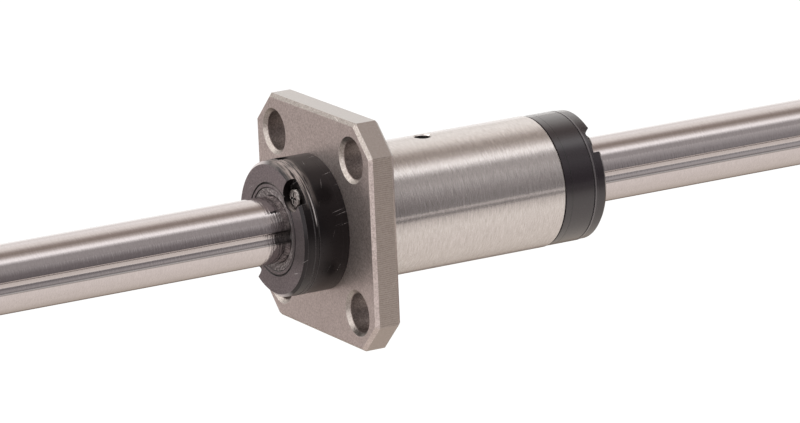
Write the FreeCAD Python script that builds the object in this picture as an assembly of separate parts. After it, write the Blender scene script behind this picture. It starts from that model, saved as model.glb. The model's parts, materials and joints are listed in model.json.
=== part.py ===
import FreeCAD, Part
import math
import os

os.makedirs("parts", exist_ok=True)

# A ball spline: a ground shaft with two straight races slides through a flanged nut.
# Balls run between the races of shaft and nut, turn round in the end caps and
# come back through two holes in the nut's wall.
# Millimetres. The origin is on the shaft's axis, in the flange's mounting face.
# +X runs along the shaft towards the barrel, +Z is up, and -Y is the near side.

# Shaft
shaft_diameter = 6.0
shaft_length = 150.0
shaft_end_chamfer = 0.5

# Balls and races
ball_diameter = 1.4
ball_gap = 0.02
ball_play = 0.01
race_flank_ratio = 1.1
race_width = 1.09

# Return path of the balls
turn_radius = 0.9
turn_lean = 48.0
channel_clearance = 0.04

# Steel nut
barrel_diameter = 12.0
steel_length = 22.4
barrel_end_chamfer = 0.2
oil_hole_diameter = 1.5
oil_hole_countersink = 0.15

# Flange
flange_width = 20.5
flange_thickness = 2.5
flange_edge_bevel = 0.3
bolt_circle_diameter = 19.5
bolt_hole_diameter = 3.5
bolt_hole_countersink = 0.35
bolt_hole_corner_wall = 1.12

# End assemblies, from the steel outwards
front_end_overhang = 0.1
rear_end_step = 0.05
return_plate_thickness = 0.65
end_cap_thickness = 2.4
seal_plate_thickness = 1.3
end_bore_clearance = 0.12
race_tongue_clearance = 0.06
cap_edge_bevel = 0.12
seal_plate_rim = 0.3
seal_plate_step = 0.05
seal_plate_bevel = 0.25
seal_seat_bevel = 0.1
seal_groove_diameter = 8.26
seal_groove_width = 0.2
seal_groove_depth = 0.14
pry_notch_angle = 98.0
pry_notch_length = 0.7
pry_notch_width = 1.5
pry_notch_depth = 0.3

# Rubber lips
lip_clearance = 0.04
lip_height = 0.65
lip_seat_clearance = 0.01
lip_recess = 0.08
lip_edge_width = 0.12
lip_root_width = 0.12
lip_depth = 0.3

# Cap screws
screw_angle = 45.0
screw_shank_diameter = 1.0
screw_head_diameter = 1.8
screw_head_height = 0.4
screw_head_round = 0.12
screw_engagement = 2.2
screw_hole_clearance = 0.05
thread_allowance = 0.01
tapped_hole_spare = 0.4
screw_pocket_width = 2.7
screw_pocket_floor = 0.5
screw_pocket_wall = 0.1
recess_length = 1.0
recess_width = 0.22
recess_depth = 0.25

# Ball retainer shells
retainer_thickness = 0.28
retainer_bore_clearance = 0.12
retainer_seat_clearance = 0.02
retainer_end_clearance = 0.02
retainer_window_clearance = 0.02

# Sizes that follow from the ones above
shaft_radius = shaft_diameter / 2
ball_radius = ball_diameter / 2
barrel_radius = barrel_diameter / 2
front_end_radius = barrel_radius + front_end_overhang
rear_end_radius = barrel_radius - rear_end_step
seal_seat_radius = shaft_radius + lip_clearance + lip_height + lip_seat_clearance
nut_bore_radius = shaft_radius + retainer_bore_clearance + retainer_thickness + retainer_seat_clearance
flange_corner_radius = (bolt_circle_diameter + bolt_hole_diameter) / 2 + bolt_hole_corner_wall
half_race = race_width / 2
race_flank_radius = ball_radius * race_flank_ratio
# The flank arcs are centred off the ball's centre, so that the ball touches each flank at 45 degrees.
flank_offset = (race_flank_radius - ball_radius - ball_play) / math.sqrt(2)
race_edge = math.sqrt(shaft_radius ** 2 - half_race ** 2)
flank_centre = race_edge + math.sqrt(race_flank_radius ** 2 - (half_race + flank_offset) ** 2)
ball_circle_radius = flank_centre - flank_offset
channel_radius = ball_radius + channel_clearance
# The screws lie midway between the seal's seat and the rim of the smaller end.
screw_circle_radius = (seal_seat_radius + rear_end_radius) / 2

steel_front = -flange_thickness
steel_rear = steel_front + steel_length
nut_middle = (steel_front + steel_rear) / 2
end_thickness = return_plate_thickness + end_cap_thickness + seal_plate_thickness
over = 1.0

X = FreeCAD.Vector(1, 0, 0)
ORIGIN = FreeCAD.Vector(0, 0, 0)


def point(x, radius, angle):
    """Point at a distance from the shaft's axis. The angle is in degrees from -Y, turning up towards +Z."""
    turn = math.radians(angle)
    return FreeCAD.Vector(x, -radius * math.cos(turn), radius * math.sin(turn))


def rod(x0, x1, radius, centre=ORIGIN):
    """Cylinder along X from x0 to x1, about a line through the centre's y and z."""
    return Part.makeCylinder(radius, x1 - x0, FreeCAD.Vector(x0, centre.y, centre.z), X)


def turned(profile, x_origin=0.0, outward=1):
    """Solid of revolution about X. The profile lists (distance outward from x_origin, radius)."""
    points = [FreeCAD.Vector(x_origin + outward * along, 0, radius) for along, radius in profile]
    face = Part.Face(Part.makePolygon(points + points[:1]))
    return face.revolve(ORIGIN, X, 360)


def opposite(shape):
    """The same shape on the other side of the shaft, half a turn about X."""
    copy = shape.copy()
    copy.rotate(ORIGIN, X, 180)
    return copy


def both_sides(shape):
    """A tool and its copy on the other side of the shaft."""
    return [shape, opposite(shape)]


def race(x0, x1, centre_radius, radius):
    """Gothic arch race: what two cylinders share, each centred a little to one side of the ball's centre."""
    arcs = [rod(x0, x1, radius, FreeCAD.Vector(0, -centre_radius, side * flank_offset)) for side in (-1, 1)]
    return arcs[0].common(arcs[1])


def shaft_races(x0, x1, relief=0.0):
    """The two races of the shaft, or with relief the smaller shape that runs inside them."""
    return both_sides(race(x0, x1, flank_centre, race_flank_radius - relief))


# Centres of a ball in the load row and in the return hole, on the near side
load_centre = point(0, ball_circle_radius, 0)
lean = math.radians(turn_lean)
across = FreeCAD.Vector(0, -math.cos(lean), -math.sin(lean))
return_centre = load_centre + across * (2 * turn_radius)
turn_middle = load_centre + across * turn_radius


def turn_channel(x_face):
    """Ring of the ball channel, half of which bends from the load row to the return hole in an end cap."""
    centre = FreeCAD.Vector(x_face, turn_middle.y, turn_middle.z)
    return Part.makeTorus(turn_radius, channel_radius, centre, X.cross(across))


def make_spline_shaft():
    front = nut_middle - shaft_length / 2
    rear = nut_middle + shaft_length / 2
    rim = shaft_radius - shaft_end_chamfer
    profile = [(front, 0), (front, rim), (front + shaft_end_chamfer, shaft_radius),
               (rear - shaft_end_chamfer, shaft_radius), (rear, rim), (rear, 0)]
    return turned(profile).cut(shaft_races(front - over, rear + over))


def make_flange():
    half = flange_width / 2
    # Each corner is cut across, at the corner radius from the axis.
    short = flange_corner_radius * math.sqrt(2) - half
    corners = [(-half, -short), (-short, -half), (short, -half), (half, -short),
               (half, short), (short, half), (-short, half), (-half, short)]
    outline = [FreeCAD.Vector(steel_front, y, z) for y, z in corners]
    plate = Part.Face(Part.makePolygon(outline + outline[:1])).extrude(X * flange_thickness)
    rim = [edge for edge in plate.Edges if edge.BoundBox.XLength < flange_edge_bevel]
    return plate.makeChamfer(flange_edge_bevel, rim)


def bolt_hole(angle):
    centre = point(0, bolt_circle_diameter / 2, angle)
    radius = bolt_hole_diameter / 2
    hole = rod(steel_front - over, over, radius, centre)
    mouth = Part.makeCone(radius + bolt_hole_countersink, radius, bolt_hole_countersink,
                          FreeCAD.Vector(steel_front, centre.y, centre.z), X)
    return hole.fuse(mouth)


def oil_hole():
    radius = oil_hole_diameter / 2
    up = FreeCAD.Vector(0, 0, 1)
    hole = Part.makeCylinder(radius, barrel_radius + over, FreeCAD.Vector(nut_middle, 0, 0), up)
    # The cone goes on above the barrel's crest, because the barrel falls away to both sides of it.
    height = oil_hole_countersink + radius
    mouth = Part.makeCone(radius, radius + height, height,
                          FreeCAD.Vector(nut_middle, 0, barrel_radius - oil_hole_countersink), up)
    return hole.fuse(mouth)


def make_flanged_nut():
    barrel = turned([(steel_front, 0), (steel_front, barrel_radius),
                     (steel_rear - barrel_end_chamfer, barrel_radius),
                     (steel_rear, barrel_radius - barrel_end_chamfer), (steel_rear, 0)])
    body = barrel.fuse(make_flange())
    start = steel_front - over
    end = steel_rear + over
    tools = [rod(start, end, nut_bore_radius), oil_hole()]
    tools += both_sides(race(start, end, ball_circle_radius - flank_offset, race_flank_radius))
    tools += both_sides(rod(start, end, channel_radius, return_centre))
    tools += [bolt_hole(angle) for angle in (45, 135, 225, 315)]
    tapped = screw_shank_diameter / 2 + thread_allowance
    depth = screw_engagement + tapped_hole_spare
    for x0, x1 in ((start, steel_front + depth), (steel_rear - depth, end)):
        tools += both_sides(rod(x0, x1, tapped, screw_axis()))
    return body.cut(tools)


def screw_axis():
    return point(0, screw_circle_radius, screw_angle)


def end_rod(x_face, outward, near, far, radius, centre=ORIGIN):
    """Cylinder along X between two distances outward from a steel end face."""
    x0, x1 = sorted((x_face + outward * near, x_face + outward * far))
    return rod(x0, x1, radius, centre)


def screw_holes(x_face, outward, near, far):
    radius = screw_shank_diameter / 2 + screw_hole_clearance
    return both_sides(end_rod(x_face, outward, near - over, far + over, radius, screw_axis()))


def make_return_plate(x_face, outward, end_radius):
    thickness = return_plate_thickness
    bore_radius = shaft_radius + end_bore_clearance
    plate = turned([(0, bore_radius), (0, end_radius), (thickness, end_radius), (thickness, bore_radius)],
                   x_face, outward)
    tools = both_sides(turn_channel(x_face)) + screw_holes(x_face, outward, 0, thickness)
    return plate.cut(tools)


def make_end_cap(x_face, outward, end_radius, notched):
    near = return_plate_thickness
    far = near + end_cap_thickness
    cap = turned([(near, 0), (near, end_radius), (far - cap_edge_bevel, end_radius),
                  (far, end_radius - cap_edge_bevel), (far, 0)], x_face, outward)
    # Two tongues stay in the bore. They reach into the shaft's races and lift the balls out of them.
    bore = end_rod(x_face, outward, near - over, far + over, shaft_radius + end_bore_clearance)
    x0, x1 = sorted((x_face - outward * over, x_face + outward * (far + 2 * over)))
    bore = bore.cut(shaft_races(x0, x1, race_tongue_clearance))
    tools = [bore] + both_sides(turn_channel(x_face)) + screw_holes(x_face, outward, near, far)
    if notched:
        tools.append(pry_notch(x_face + outward * far, end_radius))
    return cap.cut(tools)


def pry_notch(x_seam, end_radius):
    """Notch in the top of the front rim, across the seam, where a blade lifts the seal plate off."""
    length = seal_plate_rim + pry_notch_length
    block = Part.makeBox(length, pry_notch_width, pry_notch_depth + over,
                         FreeCAD.Vector(x_seam - seal_plate_rim, -pry_notch_width / 2,
                                        end_radius - pry_notch_depth))
    block.rotate(ORIGIN, X, 90 - pry_notch_angle)
    return block


def screw_pocket(x_face, outward, end_radius):
    """Slot about the screw, open to the rim and the outer face, with its round end beside the seal's seat."""
    near = return_plate_thickness + end_cap_thickness + screw_pocket_floor
    far = end_thickness + over
    radius = screw_pocket_width / 2
    inner_end = seal_seat_radius + screw_pocket_wall + radius
    round_end = end_rod(x_face, outward, near, far, radius, point(0, inner_end, screw_angle))
    length = end_radius + over - inner_end
    x0 = min(x_face + outward * near, x_face + outward * far)
    slot = Part.makeBox(far - near, length, 2 * radius, FreeCAD.Vector(x0, -inner_end - length, -radius))
    slot.rotate(ORIGIN, X, -screw_angle)
    return round_end.fuse(slot)


def make_seal_plate(x_face, outward, end_radius, notched):
    near = return_plate_thickness + end_cap_thickness
    far = end_thickness
    seat = seal_seat_radius
    groove = seal_groove_diameter / 2
    half_groove = seal_groove_width / 2
    rim = near + seal_plate_rim
    face_radius = end_radius - seal_plate_step
    plate = turned([(near, seat), (near, end_radius), (rim, end_radius),
                    (rim + seal_plate_step, face_radius), (far - seal_plate_bevel, face_radius),
                    (far, face_radius - seal_plate_bevel), (far, groove + half_groove),
                    (far - seal_groove_depth, groove), (far, groove - half_groove),
                    (far, seat + seal_seat_bevel), (far - seal_seat_bevel, seat)], x_face, outward)
    tools = both_sides(screw_pocket(x_face, outward, end_radius)) + screw_holes(x_face, outward, near, far)
    if notched:
        tools.append(pry_notch(x_face + outward * near, end_radius))
    return plate.cut(tools)


def make_seal_lip(x_face, outward):
    """Ring of rubber whose lip slopes in to the shaft from both sides, with a tongue in each race."""
    near = return_plate_thickness + end_cap_thickness
    far = end_thickness - lip_recess
    seat = seal_seat_radius - lip_seat_clearance
    root = seat - lip_root_width
    edge = shaft_radius + lip_clearance
    edge_start = far - lip_depth
    edge_end = edge_start + lip_edge_width
    profile = [(near, root), (near, seat), (far, seat), (far, root), (edge_end, edge), (edge_start, edge)]
    ring = turned(profile, x_face, outward)
    # Each tongue reaches out into the lip, which it joins.
    x0, x1 = sorted((x_face + outward * edge_start, x_face + outward * edge_end))
    inside = rod(x0, x1, edge + lip_root_width)
    tongues = [tongue.common(inside) for tongue in shaft_races(x0, x1, lip_clearance)]
    return ring.fuse(tongues).removeSplitter()


def make_screw(x_face, outward):
    """Pan-head screw with a cross recess, on the screw axis of the near side."""
    seat = return_plate_thickness + end_cap_thickness + screw_pocket_floor
    top = seat + screw_head_height
    shank = screw_shank_diameter / 2
    head = screw_head_diameter / 2
    tip = -screw_engagement
    screw = turned([(tip, 0), (tip, shank), (seat, shank), (seat, head), (top - screw_head_round, head),
                    (top, head - screw_head_round), (top, 0)], x_face, outward)
    floor = x_face + outward * (top - recess_depth)
    x0 = min(floor, floor + outward * over)
    for long_y in (True, False):
        wide, high = (recess_length, recess_width) if long_y else (recess_width, recess_length)
        arm = Part.makeBox(over, wide, high, FreeCAD.Vector(x0, -wide / 2, -high / 2))
        screw = screw.cut(arm)
    screw.translate(screw_axis())
    return screw


def make_retainer(upper):
    """Half shell between the rows of balls. Its long edges follow the balls and keep them in the nut."""
    x0 = steel_front + retainer_end_clearance
    x1 = steel_rear - retainer_end_clearance
    inner = shaft_radius + retainer_bore_clearance
    outer = inner + retainer_thickness
    shell = turned([(x0, inner), (x0, outer), (x1, outer), (x1, inner)])
    half = Part.makeBox(x1 - x0, 2 * outer, outer, FreeCAD.Vector(x0, -outer, 0 if upper else -outer))
    window = ball_radius + retainer_window_clearance
    tools = both_sides(rod(x0 - over, x1 + over, window, load_centre))
    if upper:
        tools.append(oil_hole())
    return shell.common(half).cut(tools)


def ball_row(middle):
    """As many balls as fit between the balls in the two turns, set evenly about the nut's middle."""
    pitch = ball_diameter + ball_gap
    inset = math.sqrt(pitch ** 2 - turn_radius ** 2) - turn_radius
    count = int((steel_length - 2 * inset) / pitch) + 1
    first = nut_middle - (count - 1) * pitch / 2
    return [Part.makeSphere(ball_radius, middle + X * (first + index * pitch)) for index in range(count)]


def turn_ball(x_face, outward):
    """The ball halfway round a turn."""
    return Part.makeSphere(ball_radius, turn_middle + X * (x_face + outward * turn_radius))


def write(name, shape):
    shape.exportStep("parts/" + name + ".step")
    print(name, len(shape.Solids), round(shape.Volume, 3), shape.isValid())


write("spline_shaft", make_spline_shaft())
write("flanged_nut", make_flanged_nut())
write("upper_ball_retainer", make_retainer(True))
write("lower_ball_retainer", make_retainer(False))

ends = (("front", steel_front, -1, front_end_radius), ("rear", steel_rear, 1, rear_end_radius))
for end_name, x_face, outward, end_radius in ends:
    notched = end_name == "front"
    write(end_name + "_return_plate", make_return_plate(x_face, outward, end_radius))
    write(end_name + "_end_cap", make_end_cap(x_face, outward, end_radius, notched))
    write(end_name + "_seal_plate", make_seal_plate(x_face, outward, end_radius, notched))
    write(end_name + "_seal_lip", make_seal_lip(x_face, outward))
    write("near_" + end_name + "_screw", make_screw(x_face, outward))
    write("far_" + end_name + "_screw", opposite(make_screw(x_face, outward)))
    write("near_" + end_name + "_turn_ball", turn_ball(x_face, outward))
    write("far_" + end_name + "_turn_ball", opposite(turn_ball(x_face, outward)))

for row_name, middle in (("load", load_centre), ("return", return_centre)):
    write("near_" + row_name + "_balls", Part.makeCompound(ball_row(middle)))
    write("far_" + row_name + "_balls", Part.makeCompound([opposite(ball) for ball in ball_row(middle)]))
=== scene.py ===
import json
import math

import bpy
from mathutils import Matrix, Vector


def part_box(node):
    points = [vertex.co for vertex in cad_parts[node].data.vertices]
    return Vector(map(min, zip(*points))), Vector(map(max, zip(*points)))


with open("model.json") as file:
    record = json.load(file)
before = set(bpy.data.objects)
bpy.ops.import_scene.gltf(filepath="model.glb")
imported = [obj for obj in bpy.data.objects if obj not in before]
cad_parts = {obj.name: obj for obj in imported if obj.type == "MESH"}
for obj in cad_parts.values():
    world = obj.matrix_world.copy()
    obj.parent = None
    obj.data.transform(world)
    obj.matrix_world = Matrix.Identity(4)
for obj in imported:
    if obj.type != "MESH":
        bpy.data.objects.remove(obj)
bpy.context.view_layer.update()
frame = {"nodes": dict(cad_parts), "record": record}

# Places on the part are in millimetres, in its own frame: the origin is on the shaft's axis in the flange's
# mounting face, +X runs along the shaft towards the barrel, +Z is up and -Y is the near side.
MM = 0.001


def reach(node):
    """Where a piece begins and ends along the shaft."""
    low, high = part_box(node)
    return low.x / MM, high.x / MM


front_face, front_seam = reach("front_seal_plate")
return_plate_seam, rear_seam = reach("rear_end_cap")
rear_face = reach("rear_seal_plate")[1]
steel_end = reach("flanged_nut")[1]
nut_middle = (front_face + rear_face) / 2
nut_half_length = (rear_face - front_face) / 2
race_edge = 0.5
bolt_circle_radius = 9.75
bolt_offset = bolt_circle_radius / math.sqrt(2)
bolt_hole_radius = 1.75
countersink_radius = 2.1
oil_hole_radius = 0.75
barrel_end_chamfer = 0.2

# The floor's and the lights' places are in metres.
floor_height = -0.07
floor_near_edge = -0.29
floor_far_edge = 5
floor_half_width = 4
panel_distance = 0.8


class Value:
    """A socket of a node tree. Arithmetic on it adds a Math node and gives that node's result."""

    def __init__(self, tree, socket):
        self.tree = tree
        self.socket = socket

    def math(self, operation, *others):
        """The result of a Math node on this value and the others."""
        return self.tree.add("ShaderNodeMath", [self, *others], operation=operation)

    def __add__(self, other):
        return self.math("ADD", other)

    def __sub__(self, other):
        return self.math("SUBTRACT", other)

    def __mul__(self, other):
        return self.math("MULTIPLY", other)

    def __truediv__(self, other):
        return self.math("DIVIDE", other)

    def __rsub__(self, other):
        return self.tree.add("ShaderNodeMath", [other, self], operation="SUBTRACT")

    def __rtruediv__(self, other):
        return self.tree.add("ShaderNodeMath", [other, self], operation="DIVIDE")

    def __abs__(self):
        return self.math("ABSOLUTE")

    __radd__ = __add__
    __rmul__ = __mul__

    def larger(self, other):
        """The larger of two values, so that either mask shows."""
        return self.math("MAXIMUM", other)

    def within(self, start, end):
        """0 on the side of start, 1 on the side of end and a straight ramp between, rising or falling."""
        return self.tree.add("ShaderNodeMapRange", [self, start, end], clamp=True)

    def between(self, low, full, fade, high):
        """1 from full to fade, 0 below low and above high, and straight ramps between."""
        return self.within(low, full) * (1 - self.within(fade, high))

    def near(self, centre, close, far):
        """1 up to close from the centre, 0 beyond far from it and a straight ramp between."""
        return 1 - abs(self - centre).within(close, far)

    def output(self, name):
        """Another output of the same node."""
        return Value(self.tree, self.socket.node.outputs[name])


class Tree:
    """The nodes of one material or world."""

    def __init__(self, owner):
        owner.use_nodes = True
        self.nodes = owner.node_tree.nodes
        self.links = owner.node_tree.links
        self.nodes.clear()

    def add(self, kind, values=(), output=0, stops=None, **settings):
        """Adds a node, sets it up, feeds its sockets by place or name, and gives an output if it has one."""
        node = self.nodes.new(kind)
        for name, setting in settings.items():
            setattr(node, name, setting)
        if stops:
            ramp = node.color_ramp.elements
            while len(ramp) < len(stops):
                ramp.new(1.0)
            for element, (position, shade) in zip(ramp, stops):
                element.position = position
                element.color = (*shade, 1.0)
        feeds = values.items() if isinstance(values, dict) else enumerate(values)
        for key, value in feeds:
            self.feed(node.inputs[key], value)
        return Value(self, node.outputs[output]) if len(node.outputs) else None

    def feed(self, socket, value):
        """Links a value to a socket, or sets a plain number or colour on it."""
        if isinstance(value, Value):
            self.links.new(value.socket, socket)
        else:
            socket.default_value = value

    def parts(self, vector):
        """The X, Y and Z of a vector."""
        first = self.add("ShaderNodeSeparateXYZ", [vector])
        return first, first.output("Y"), first.output("Z")

    def mix(self, factor, first, second):
        """Colour mix: the first colour at factor 0, the second at 1."""
        return self.add("ShaderNodeMix", {0: factor, 6: first, 7: second}, output=2, data_type="RGBA")

    def place(self):
        """The place on the part, in millimetres."""
        here = self.add("ShaderNodeTexCoord", output="Object")
        return self.add("ShaderNodeVectorMath", {0: here, "Scale": 1 / MM}, operation="SCALE")

    def facing(self):
        """The X, Y and Z of the surface's own direction."""
        return self.parts(self.add("ShaderNodeTexCoord", output="Normal"))

    def stretched(self, vector, scale):
        """A vector whose X, Y and Z are each multiplied by a number of their own."""
        return self.add("ShaderNodeVectorMath", [vector, scale], operation="MULTIPLY")

    def noise(self, vector, scale=1.0, detail=2.0, roughness=0.5):
        """Smooth noise about 0.5. The scale is its waves to the millimetre."""
        feeds = {"Vector": vector, "Scale": scale, "Detail": detail, "Roughness": roughness}
        return self.add("ShaderNodeTexNoise", feeds)

    def bump(self, height, strength, depth, normal=None):
        """Normal of a surface raised by height times depth, added to another normal where one is given."""
        feeds = {"Height": height, "Strength": strength, "Distance": depth}
        if normal:
            feeds["Normal"] = normal
        return self.add("ShaderNodeBump", feeds)

    def rounded(self, radius):
        """Normal of edges that are broken by a small radius."""
        return self.add("ShaderNodeBevel", {"Radius": radius}, samples=6)

    def wear(self, radius):
        """How far an edge's rounding turns the surface: 0 on flats, towards 1 on sharp edges."""
        round_normal = self.rounded(radius)
        flat_normal = self.add("ShaderNodeNewGeometry", output="Normal")
        same = self.add("ShaderNodeVectorMath", [round_normal, flat_normal], output="Value",
                        operation="DOT_PRODUCT")
        return (1 - same).within(0.01, 0.12)

    def strokes(self, place, turn, length, share):
        """Short straight scratches: 1 where the surface cuts a flat cell, in that share of all cells."""
        width = 0.02
        turned = self.add("ShaderNodeVectorRotate", {"Vector": place, "Rotation": turn},
                          rotation_type="EULER_XYZ")
        turned = self.stretched(turned, (1 / length, 1 / length, 0.5 / width))
        cells = self.add("ShaderNodeTexVoronoi", {"Vector": turned, "Scale": 1.0})
        chance = self.parts(cells.output("Color"))[0]
        return (1 - cells.within(0.25, 0.4)) * chance.within(1 - share, 1.001 - share)

    def surface(self, **feeds):
        """Principled surface with these sockets, as the material's result."""
        named = {name.replace("_", " "): value for name, value in feeds.items()}
        shader = self.add("ShaderNodeBsdfPrincipled", named)
        self.add("ShaderNodeOutputMaterial", {"Surface": shader})


def material(name):
    """A new material and its node tree."""
    made = bpy.data.materials.new(name)
    return made, Tree(made)


def colour(red, green, blue):
    """An opaque colour from its linear light."""
    return (red, green, blue, 1.0)


backdrop_white = colour(1.06, 1.06, 1.06)


def ground_steel(tree, place):
    """Shaft's bare steel: its tone, and the fine grinding rings that blur reflections lengthwise."""
    rings = tree.noise(tree.stretched(place, (7.0, 0.6, 0.6)), roughness=0.6)
    grain = tree.noise(tree.stretched(place, (9.0, 3.0, 3.0)), detail=4.0, roughness=0.85)
    share = rings * 0.4 + grain.within(0.36, 0.64) * 0.6
    return tree.mix(share, colour(0.53, 0.488, 0.485), colour(0.67, 0.622, 0.62)), rings


def race_painted_light_tone(tree, place, race, tone):
    """Race over the shaft's tone, with painted reflections: painted shade above its middle and by the near
    lower edge, painted light below its middle.
    """
    painted_shade_edge_grey = colour(0.2, 0.185, 0.18)
    painted_shade_flank_grey = colour(0.35, 0.32, 0.31)
    painted_light_flank_bright = colour(0.94, 0.9, 0.89)
    _, y, z = tree.parts(place)
    # Painted shade along the near lower edge of the race and on its upper flank.
    painted_shade_strip = z.near(-race_edge - 0.02, 0.08, 0.14) * y.within(0.0, -1.0)
    tone = tree.mix(painted_shade_strip * 0.72, tone, painted_shade_edge_grey)
    tone = tree.mix(race * z.within(0.0, 0.1) * 0.3, tone, painted_shade_flank_grey)
    # Painted light on the lower flank of the race.
    painted_light_flank = race * z.within(0.03, -0.03) * z.within(-0.32, -0.2)
    return tree.mix(painted_light_flank * 0.85, tone, painted_light_flank_bright)


def shaft_steel():
    """Hardened ground shaft, with a film of grease before the front lip that carries painted shade and
    painted glints, and a darker patch in its near race.
    """
    film_painted_shade_grey = colour(0.35, 0.325, 0.322)
    painted_glint_white = colour(0.97, 0.94, 0.93)
    near_race_black = colour(0.05, 0.045, 0.045)
    film_and_shade_start = (front_face - 2.65, front_face - 0.35)
    near_race_start = (front_face - 1.45, front_face - 1.15)
    under_lip = (front_face + 0.85, front_face + 1.35)

    made, tree = material("ground_shaft_steel")
    place = tree.place()
    x, y, z = tree.parts(place)
    race = z.near(0.0, race_edge, race_edge + 0.2) * abs(y).within(1.5, 2.0)
    tone, rings = ground_steel(tree, place)

    # The grease film is painted shade too: it is thinner on top, stops at the shaft's lower side, and its
    # glints are painted highlights.
    grease_film_and_shade = x.between(*film_and_shade_start, *under_lip) * 0.7
    grease_film_and_shade = grease_film_and_shade * z.within(-1.3, -0.6) * (1 - z.within(1.6, 2.1) * 0.8)
    painted_glints = tree.noise(place, 7.0, detail=3.0, roughness=0.8).within(0.5, 0.62)
    tone = tree.mix(grease_film_and_shade * 0.35, tone, tree.mix(painted_glints, film_painted_shade_grey, painted_glint_white))

    tone = race_painted_light_tone(tree, place, race, tone)
    # The near race is darker by the lip.
    near_race_dark = race * y.within(0.0, -1.0) * x.between(*near_race_start, *under_lip)
    tone = tree.mix(near_race_dark * 0.7, tone, near_race_black)
    bump = tree.bump(rings * (grease_film_and_shade * 0.04 + 0.01), strength=1.0, depth=MM)
    rough = rings * 0.05 + 0.06 + grease_film_and_shade * 0.05 + race * 0.06
    tree.surface(Base_Color=tone, Metallic=1.0, Roughness=rough, Normal=bump)
    return made


def flange_face_tone(tree, place, grain, stains):
    """Flange's finely grained faces, a little paler at the bottom as painted light and deeper at the top as
    painted shade.
    """
    z = tree.parts(place)[2]
    tone = tree.mix(grain * 0.7 + stains * 0.3, colour(0.345, 0.286, 0.264), colour(0.72, 0.636, 0.609))
    # Painted light makes the bottom paler, and painted shade the top deeper.
    tone = tree.mix(z.within(-2.0, -7.0) * 0.16, tone, colour(0.9, 0.8, 0.77))
    return tree.mix(z.within(4.0, 9.0) * 0.14, tone, colour(0.25, 0.21, 0.2))


def flange_side_tone(tree, place, side, grain, stains):
    """Flange's milled sides and the cutter's marks on them, waves along a side and none on a cut corner, with
    a paler top as painted light and painted shade on the upper corners and rear edge.
    """
    mark_turn = 34.0
    painted_light_top_grey = colour(0.46, 0.45, 0.44)
    painted_light_top_pale = colour(0.72, 0.71, 0.70)
    corner_grey = colour(0.2, 0.17, 0.155)
    rear_edge_painted_shade = colour(0.13, 0.11, 0.1)
    x, y, z = tree.parts(place)
    _, ny, nz = tree.facing()
    top = nz.within(0.85, 0.95)
    corner = side * abs(ny * nz).within(0.2, 0.3)
    along = z * abs(ny) + y * abs(nz)
    marks = (along * mark_turn + stains * 9.0).math("SINE") * 0.3 + 0.5
    marks = marks * (1 - corner) + corner * 0.5
    tone = tree.mix(marks * 0.65 + grain * 0.35, colour(0.3, 0.25, 0.22), colour(0.55, 0.485, 0.45))
    # Cut corners are a little darker, and the upper ones darker still as painted shade.
    tone = tree.mix(corner * (nz.within(0.0, 0.3) * 0.25 + 0.08), tone, corner_grey)
    # The top is paler than the sides as painted light.
    tone = tree.mix(top * 0.7, tone, tree.mix(marks, painted_light_top_grey, painted_light_top_pale))
    # A line of painted shade along the rear edge of the sides.
    tone = tree.mix(x.within(-0.17, -0.1) * (1 - top) * 0.7, tone, rear_edge_painted_shade)
    return tone, marks


def flange_finish(tree, place, flange):
    """Tone, roughness and height of the flange: its faces, sides, bevels, worn edges and bolt holes."""
    painted_highlight_bevel = colour(0.95, 0.9, 0.87)
    worn_edge = colour(0.86, 0.82, 0.79)
    _, y, z = tree.parts(place)
    nx, ny, nz = tree.facing()
    flat = abs(nx)
    side = (1 - flat).within(0.6, 0.8) * flange
    slope = flat.between(0.3, 0.5, 0.85, 0.95)
    bolt_y = abs(y) - bolt_offset
    bolt_z = abs(z) - bolt_offset
    from_bolt = (bolt_y * bolt_y + bolt_z * bolt_z).math("SQRT")
    hole = 1 - from_bolt.within(bolt_hole_radius + 0.03, bolt_hole_radius + 0.06)
    away_from_bolt = from_bolt.within(countersink_radius + 0.2, countersink_radius + 0.5)

    grain = tree.noise(place, 5.5, detail=4.0, roughness=0.9).within(0.4, 0.6)
    stains = tree.noise(place, 0.9, detail=3.0, roughness=0.6)
    side_tone, marks = flange_side_tone(tree, place, side, grain, stains)
    tone = tree.mix(side, flange_face_tone(tree, place, grain, stains), side_tone)

    # Countersinks are darker, the upper bevels darker as painted shade, and the lower and far bevels bright
    # as a painted highlight.
    darker_bevels_and_shade = slope * (1 - hole) * (1 - away_from_bolt).larger(nz.within(0.1, 0.3))
    darker_bevel_tone = tree.mix(grain, colour(0.21, 0.19, 0.17), colour(0.40, 0.37, 0.34))
    tone = tree.mix(darker_bevels_and_shade * 0.75, tone, darker_bevel_tone)
    bevel_painted_highlight = slope * away_from_bolt * (ny - nz).within(0.3, 0.5)
    tone = tree.mix(bevel_painted_highlight * 0.7, tone, painted_highlight_bevel)

    # Scratches lie on all of it, and the edges are worn, least at the top.
    scratches = tree.strokes(place, turn=(0.7, 0.3, 1.2), length=2.0, share=0.006)
    scratches = scratches.larger(tree.strokes(place, turn=(0.2, 1.1, 0.4), length=1.5, share=0.006))
    edge = (tree.wear(0.06 * MM) * 2.0).within(0.0, 1.0) * flange * (1 - z.within(9.0, 9.5) * 0.8)
    tone = tree.mix(edge.larger(scratches) * 0.36, tone, worn_edge)

    # Bolt-hole walls are painted dark as shade.
    hole_painted_shade_tone = tree.mix(grain, colour(0.16, 0.13, 0.12), colour(0.33, 0.28, 0.26))
    tone = tree.mix(hole, tone, hole_painted_shade_tone)
    rough = grain * 0.1 + 0.3 + hole * 0.15
    height = side * marks * 0.0017 + grain * 0.0014
    return tone, rough, height


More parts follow.
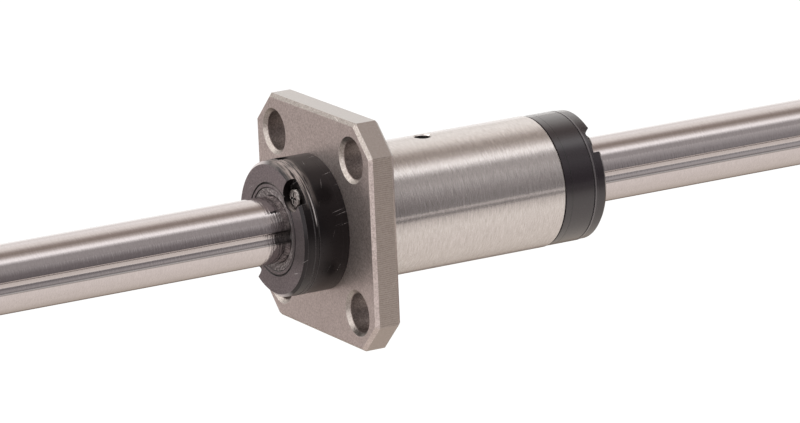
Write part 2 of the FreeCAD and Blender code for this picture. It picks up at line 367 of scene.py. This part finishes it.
def barrel_finish(tree, place):
    """Tone, roughness and height of the barrel, which is ground with fine rings round it."""
    rings = tree.noise(tree.stretched(place, (7.0, 0.4, 0.4)), detail=3.0, roughness=0.7)
    grain = tree.noise(tree.stretched(place, (12.0, 1.2, 1.2)), detail=4.0, roughness=0.85)
    share = rings * 0.3 + grain.within(0.34, 0.66) * 0.7
    tone = tree.mix(share, colour(0.50, 0.465, 0.445), colour(0.77, 0.725, 0.705))
    return tone, rings * 0.06 + 0.07, rings * 0.018


def nut_steel():
    """Nut's steel: flange and barrel with a finish each, a matt grey end chamfer as painted light and an oil
    hole on top painted dark as shade.
    """
    chamfer_painted_light_grey = colour(0.52, 0.48, 0.46)
    oil_hole_painted_shade_black = colour(0.03, 0.025, 0.025)
    chamfer_start = steel_end - barrel_end_chamfer
    oil_hole_wall = oil_hole_radius ** 2
    barrel_start = 0.02

    made, tree = material("machined_nut_steel")
    place = tree.place()
    x, y, z = tree.parts(place)
    barrel = x.within(barrel_start, barrel_start + 0.02)
    flange = 1 - barrel
    chamfer = x.within(chamfer_start - 0.02, chamfer_start + 0.02)
    along = x - nut_middle
    outside = (along * along + y * y).within(oil_hole_wall - 0.0125, oil_hole_wall + 0.0175)
    oil_hole = (1 - outside) * z.within(0.0, 1.0)

    flange_tone, flange_rough, flange_height = flange_finish(tree, place, flange)
    barrel_tone, barrel_rough, barrel_height = barrel_finish(tree, place)
    tone = tree.mix(barrel, flange_tone, barrel_tone)
    # The end chamfer is matt grey as painted light.
    tone = tree.mix(chamfer, tone, chamfer_painted_light_grey)
    # The oil hole's wall is painted dark as shade.
    tone = tree.mix(oil_hole, tone, oil_hole_painted_shade_black)
    metal = 0.92 - barrel * 0.12 - chamfer * 0.7
    rough = barrel * barrel_rough + flange * flange_rough
    height = barrel * barrel_height + flange * flange_height
    bump = tree.bump(height, strength=1.0, depth=MM, normal=tree.rounded(0.05 * MM))
    tree.surface(Base_Color=tone, Metallic=metal, Roughness=rough, Normal=bump)
    return made


def bare_plastic_tone(tree, place, end, rear, grain):
    """Clean resin: matt grained end faces, glossy rims, a grey line of painted light over the rear seam's
    shade, and pale flecks.
    """
    glossy_black = colour(0.006, 0.0048, 0.005)
    rear_black = colour(0.009, 0.004, 0.008)
    rear_seam_painted_light_grey = colour(0.1, 0.09, 0.095)
    fleck_grey = colour(0.20, 0.175, 0.175)
    x = tree.parts(place)[0]
    matt = tree.mix(grain, colour(0.066, 0.053, 0.056), colour(0.168, 0.138, 0.142))
    tone = tree.mix(end, glossy_black, matt)
    tone = tree.mix(rear * (1 - end), tone, rear_black)
    # Painted light that lifts the shade in the rear seam.
    tone = tree.mix(x.near(rear_seam + 0.05, 0.06, 0.14), tone, rear_seam_painted_light_grey)
    flecks = tree.noise(place, 6.0, detail=5.0, roughness=0.75).within(0.66, 0.74)
    return tree.mix(flecks * 0.3, tone, fleck_grey)


def plastic_scratches_and_seam_highlight(tree, place, rear, mould, streaks):
    """Handling scratches of the front cap, and a painted highlight along the seam on its near upper side."""
    x, y, z = tree.parts(place)
    scratches = tree.strokes(place, turn=(0.5, 0.2, 1.1), length=2.0, share=0.012)
    scratches = scratches.larger(tree.strokes(place, turn=(0.3, 1.2, 0.9), length=1.6, share=0.012))
    # Painted highlight along the front seam.
    seam_painted_highlight = x.near(front_seam - 0.05, 0.04, 0.09) * streaks.within(0.3, 0.45)
    seam_painted_highlight = seam_painted_highlight * z.between(1.2, 1.8, 3.9, 4.3) * y.within(-3.0, -4.0)
    return (scratches * mould.within(0.4, 0.6) * (1 - rear)).larger(seam_painted_highlight)


def front_rim_painted_highlight(tree, place):
    """Painted highlight on the bevel round the front face, on its far side and at the bottom only."""
    x, y, z = tree.parts(place)
    bevel = abs(tree.facing()[0]).between(0.4, 0.6, 0.85, 0.95)
    bevel = bevel * (1 - x.within(front_face + 0.45, front_face + 0.65))
    bevel = bevel * (y * y + z * z).within(5.1 ** 2, 5.29 ** 2)
    return bevel * y.within(0.0, 2.0).larger(z.within(-3.0, -4.5) * y.within(-3.0, -1.0))


def black_plastic():
    """Moulded black resin: scratched, with painted shade beside the shaft on the near side, and pale streaks
    on top of the front seam.
    """
    scratch_and_highlight_grey = colour(0.55, 0.52, 0.52)
    rim_painted_highlight_grey = colour(0.62, 0.57, 0.57)
    painted_shade_black = colour(0.022, 0.019, 0.02)
    haze_grey = colour(0.40, 0.36, 0.36)
    pale_streak_grey = colour(0.50, 0.43, 0.40)
    gap_black = colour(0.0, 0.0, 0.0)

    made, tree = material("moulded_black_plastic")
    place = tree.place()
    x, y, z = tree.parts(place)
    nx, _, nz = tree.facing()
    end = abs(x - nut_middle).within(nut_half_length - 0.15, nut_half_length - 0.05)
    end = end * abs(nx).within(0.8, 0.95)
    rear = x.within(nut_middle, nut_middle + 1.0)
    mould = tree.noise(place, 8.0, detail=3.0, roughness=0.6)
    grain = tree.noise(place, 6.0, detail=4.0, roughness=0.9).within(0.4, 0.6)
    streaks = tree.noise(tree.stretched(place, (6.0, 0.5, 0.5)), detail=4.0, roughness=0.7)

    tone = bare_plastic_tone(tree, place, end, rear, grain)
    # These are scratches and the front seam's painted highlight.
    scratches = plastic_scratches_and_seam_highlight(tree, place, rear, mould, streaks)
    edge = tree.wear(0.04 * MM) * (1 - x.within(front_seam + 0.25, front_seam + 0.55))
    tone = tree.mix(scratches.larger(edge * 0.3) * 0.8, tone, scratch_and_highlight_grey)
    # Painted highlight on the front rim.
    tone = tree.mix(front_rim_painted_highlight(tree, place) * 0.8, tone, rim_painted_highlight_grey)
    # Painted shade beside the shaft on the near side of the front face.
    near_side_painted_shade = y.within(-1.8, -3.2) * z.near(0.0, 1.6, 3.8) * end * (1 - rear)
    tone = tree.mix(near_side_painted_shade * 0.7, tone, painted_shade_black)

    # Pale streaks lie where the surface faces up, and a thin haze below them.
    haze = x.near(front_seam - 0.15, 0.4, 1.7) * z.within(0.5, -2.5) * (1 - end)
    tone = tree.mix(haze * 0.06, tone, haze_grey)
    pale_top_streaks = streaks.within(0.38, 0.6) * x.near(front_seam - 0.4, 0.35, 1.1) * nz.within(0.45, 0.85) * (1 - end)
    tone = tree.mix(pale_top_streaks * 0.85, tone, pale_streak_grey)
    gap = x.near(return_plate_seam, 0.025, 0.05)
    tone = tree.mix(gap, tone, gap_black)

    rough = mould * 0.1 + 0.24 + end * 0.2 + pale_top_streaks * 0.3 + gap * 0.5
    height = mould * 0.4 + grain * end * 0.6 + streaks * 0.4 - scratches * 0.5 - gap
    bump = tree.bump(height, strength=0.3, depth=0.01 * MM, normal=tree.rounded(0.03 * MM))
    tree.surface(Base_Color=tone, Roughness=rough, IOR=1.34, Specular_Tint=colour(1.0, 0.94, 0.98),
                 Coat_Weight=rear, Coat_Roughness=0.22, Coat_IOR=1.62, Normal=bump)
    return made


def seal_rubber():
    """Dark rubber of the lips: creased, flecked pale, most of all on its edges, and darker on the near side
    as painted shade.
    """
    crease_grey = colour(0.52, 0.46, 0.455)
    fleck_white = colour(0.95, 0.89, 0.87)
    painted_shade_black = colour(0.03, 0.026, 0.027)
    made, tree = material("dark_seal_rubber")
    place = tree.place()
    _, y, z = tree.parts(place)
    creases = tree.noise(place, 4.0, detail=4.0, roughness=0.8)
    fold = creases.near(0.5, 0.0, 0.03)
    flecks = creases.within(0.55, 0.59) * (tree.wear(0.08 * MM) * 0.25 + 0.4)
    tone = tree.mix(creases.within(0.38, 0.62), colour(0.075, 0.06, 0.062), colour(0.30, 0.255, 0.258))
    tone = tree.mix(fold * 0.6, tone, crease_grey)
    tone = tree.mix(flecks, tone, fleck_white)
    # Painted shade on the near side of the lip.
    near_side_painted_shade = y.within(-1.9, -2.7) * z.near(0.3, 1.0, 2.2)
    tone = tree.mix(near_side_painted_shade * 0.6, tone, painted_shade_black)
    bump = tree.bump(creases + fold * 0.3, strength=0.9, depth=0.25 * MM)
    tree.surface(Base_Color=tone, Roughness=0.42, Normal=bump)
    return made


def screw_steel():
    """Dark plated screw with bright worn edges."""
    worn_edge = colour(0.75, 0.72, 0.70)
    edge_radius = 0.06 * MM
    made, tree = material("plated_screw_steel")
    marks = tree.noise(tree.place(), 6.0, detail=3.0, roughness=0.65)
    tone = tree.mix(marks.within(0.35, 0.65), colour(0.05, 0.044, 0.043), colour(0.22, 0.20, 0.19))
    tone = tree.mix(tree.wear(edge_radius) * 0.8, tone, worn_edge)
    bump = tree.bump(marks, strength=0.5, depth=0.02 * MM, normal=tree.rounded(edge_radius))
    tree.surface(Base_Color=tone, Metallic=1.0, Roughness=marks * 0.15 + 0.12, Normal=bump)
    return made


def ball_steel():
    """Polished bearing ball."""
    made, tree = material("polished_ball_steel")
    haze = tree.noise(tree.place(), 3.0)
    tone = tree.mix(haze, colour(0.60, 0.60, 0.61), colour(0.68, 0.68, 0.69))
    tree.surface(Base_Color=tone, Metallic=1.0, Roughness=haze * 0.05 + 0.05)
    return made


def retainer_resin():
    """Pale moulded resin of the retainer shells."""
    made, tree = material("retainer_resin")
    grain = tree.noise(tree.place(), 6.0, detail=3.0)
    tone = tree.mix(grain, colour(0.50, 0.47, 0.42), colour(0.58, 0.55, 0.50))
    tree.surface(Base_Color=tone, Roughness=grain * 0.1 + 0.4)
    return made


finishes = {
    "shaft_steel": shaft_steel(),
    "nut_steel": nut_steel(),
    "black_plastic": black_plastic(),
    "seal_rubber": seal_rubber(),
    "screw_steel": screw_steel(),
    "ball_steel": ball_steel(),
    "retainer_plastic": retainer_resin(),
}


def dress_nodes():
    """Gives every CAD node the finish of its material slot."""
    for entry in frame["record"]["subparts"]:
        mesh = frame["nodes"][entry["node"]].data
        mesh.materials.clear()
        mesh.materials.append(finishes[entry["material_slot"]])


def make_camera():
    """Long lens on the photograph's line of sight, rolled a little to the left."""
    azimuth = math.radians(29.57)
    elevation = math.radians(14.528)
    roll = math.radians(-2.406)
    distance = 461.9
    target = Vector((6.102, 0, -0.522)) * MM
    forward = Vector((math.sin(azimuth) * math.cos(elevation), math.cos(azimuth) * math.cos(elevation),
                      -math.sin(elevation)))
    level = Vector((math.cos(azimuth), -math.sin(azimuth), 0))
    upright = level.cross(forward)
    right = level * math.cos(roll) + upright * math.sin(roll)
    up = upright * math.cos(roll) - level * math.sin(roll)
    data = bpy.data.cameras.new("camera")
    data.lens = 233.6
    data.sensor_width = 36.0
    camera = bpy.data.objects.new("camera", data)
    turned = Matrix((right, up, -forward)).transposed().to_4x4()
    camera.matrix_world = Matrix.Translation(target - forward * distance * MM) @ turned
    bpy.context.scene.collection.objects.link(camera)
    bpy.context.scene.camera = camera


def floor_finish():
    """White to the camera, in bands of painted shade and the part's painted shadow to the steel that mirrors
    it, and matt to all other light.
    """
    near_edge_painted_shade = colour(0.52, 0.475, 0.45)
    left_end_grey = colour(0.60, 0.54, 0.525)
    # The dark bands are the part's painted shadow on the table.
    bands = [(0.0, (1.0, 0.94, 0.89)), (0.14, (0.95, 0.88, 0.83)), (0.26, (0.84, 0.77, 0.71)),
             (0.34, (0.64, 0.57, 0.51)), (0.4, (0.5, 0.43, 0.37)), (0.45, (0.2, 0.15, 0.12)),
             (0.85, (0.18, 0.13, 0.1)), (1.0, (1.1, 1.08, 1.06))]
    made, tree = material("pale_floor")
    x, y, _ = tree.parts(tree.add("ShaderNodeTexCoord", output="Object"))
    mirrored = tree.add("ShaderNodeValToRGB", [y.within(-0.1, 0.3)], stops=bands)
    # Painted shade at the table's near edge and left end, as the steel mirrors them.
    mirrored = tree.mix(y.within(floor_near_edge, -0.11), near_edge_painted_shade, mirrored)
    mirrored = tree.mix(x.within(-0.12, -0.03), left_end_grey, mirrored)
    camera_ray = tree.add("ShaderNodeLightPath", output="Is Camera Ray")
    seen = camera_ray.larger(camera_ray.output("Is Glossy Ray"))
    seen = seen.larger(camera_ray.output("Is Transmission Ray"))
    shade = tree.mix(camera_ray, mirrored, backdrop_white)
    matt = tree.add("ShaderNodeBsdfDiffuse", {"Color": colour(0.9, 0.885, 0.87)})
    white = tree.add("ShaderNodeEmission", {"Color": shade, "Strength": 1.0})
    shader = tree.add("ShaderNodeMixShader", [seen * 0.95, matt, white])
    tree.add("ShaderNodeOutputMaterial", {"Surface": shader})
    return made


def make_floor():
    """Pale table below the part. Its near edge is where the steel's reflection turns from light to dark."""
    corners = [(-floor_half_width, floor_near_edge, floor_height),
               (floor_half_width, floor_near_edge, floor_height),
               (floor_half_width, floor_far_edge, floor_height),
               (-floor_half_width, floor_far_edge, floor_height)]
    mesh = bpy.data.meshes.new("floor")
    mesh.from_pydata(corners, [], [(0, 1, 2, 3)])
    mesh.materials.append(floor_finish())
    floor = bpy.data.objects.new("floor", mesh)
    bpy.context.scene.collection.objects.link(floor)


def make_world():
    """Studio in bands round the shaft's axis, by their degrees above the near side's horizon."""
    left_end_grey = colour(0.62, 0.57, 0.55)
    bands = [
        (-180, (1.1, 1.08, 1.06)),
        (-14.5, (0.9, 0.87, 0.84)),
        # A dark line and a grey one, over the table's near edge.
        (-13.6, (0.22, 0.2, 0.2)),
        (-8.4, (0.24, 0.22, 0.22)),
        (-7.8, (0.62, 0.58, 0.57)),
        (-4.0, (0.58, 0.54, 0.53)),
        # The dim room on the near side.
        (-3.2, (0.17, 0.155, 0.16)),
        (7, (0.15, 0.135, 0.14)),
        (21, (0.23, 0.21, 0.215)),
        (29, (0.31, 0.29, 0.295)),
        (43, (0.44, 0.415, 0.415)),
        (59, (0.44, 0.415, 0.415)),
        # The soft light above the room.
        (66, (0.9, 0.88, 0.88)),
        (69, (1.35, 1.33, 1.33)),
        (76, (1.35, 1.32, 1.31)),
        (86, (0.66, 0.6, 0.565)),
        # The ceiling, and the pale backdrop on the far side.
        (96, (0.37, 0.315, 0.28)),
        (106, (0.44, 0.375, 0.34)),
        (123, (1.05, 1.0, 0.95)),
        (143, (1.18, 1.15, 1.12)),
        (161, (0.98, 0.94, 0.91)),
        (180, (1.18, 1.16, 1.14)),
    ]
    stops = [(angle / 360 + 0.5, shade) for angle, shade in bands]

    world = bpy.data.worlds.new("studio")
    bpy.context.scene.world = world
    tree = Tree(world)
    x, y, z = tree.parts(tree.add("ShaderNodeTexCoord", output="Generated"))
    turn = z.math("ARCTAN2", y * -1.0) / (2 * math.pi) + 0.5
    studio = tree.add("ShaderNodeValToRGB", [turn], stops=stops)
    low_left = (1 - x.within(-0.4, -0.15)) * z.within(0.4, 0.0)
    studio = tree.mix(low_left * 0.9, studio, left_end_grey)
    camera_ray = tree.add("ShaderNodeLightPath", output="Is Camera Ray")
    shade = tree.mix(camera_ray, studio, backdrop_white)
    shader = tree.add("ShaderNodeBackground", {"Color": shade, "Strength": 1.0})
    tree.add("ShaderNodeOutputWorld", {"Surface": shader})


def make_panel(name, out, size, brightness):
    """Square soft light that faces the part from the direction out."""
    out = Vector(out).normalized()
    data = bpy.data.lights.new(name, "AREA")
    data.shape = "SQUARE"
    data.size = size
    data.energy = brightness * math.pi * size ** 2
    panel = bpy.data.objects.new(name, data)
    panel.location = out * panel_distance
    panel.rotation_euler = out.to_track_quat("Z", "Y").to_euler()
    panel.visible_camera = False
    bpy.context.scene.collection.objects.link(panel)


dress_nodes()
make_camera()
make_floor()
make_world()
make_panel("flange_panel", out=(-0.85, -0.3, 0.25), size=0.8, brightness=1.6)
make_panel("end_panel", out=(-0.5, 0.3, 0.81), size=0.7, brightness=1.45)
make_panel("rear_shaft_panel", out=(0.745, -0.604, 0.282), size=0.56, brightness=0.12)
bpy.context.scene.view_settings.view_transform = "Standard"
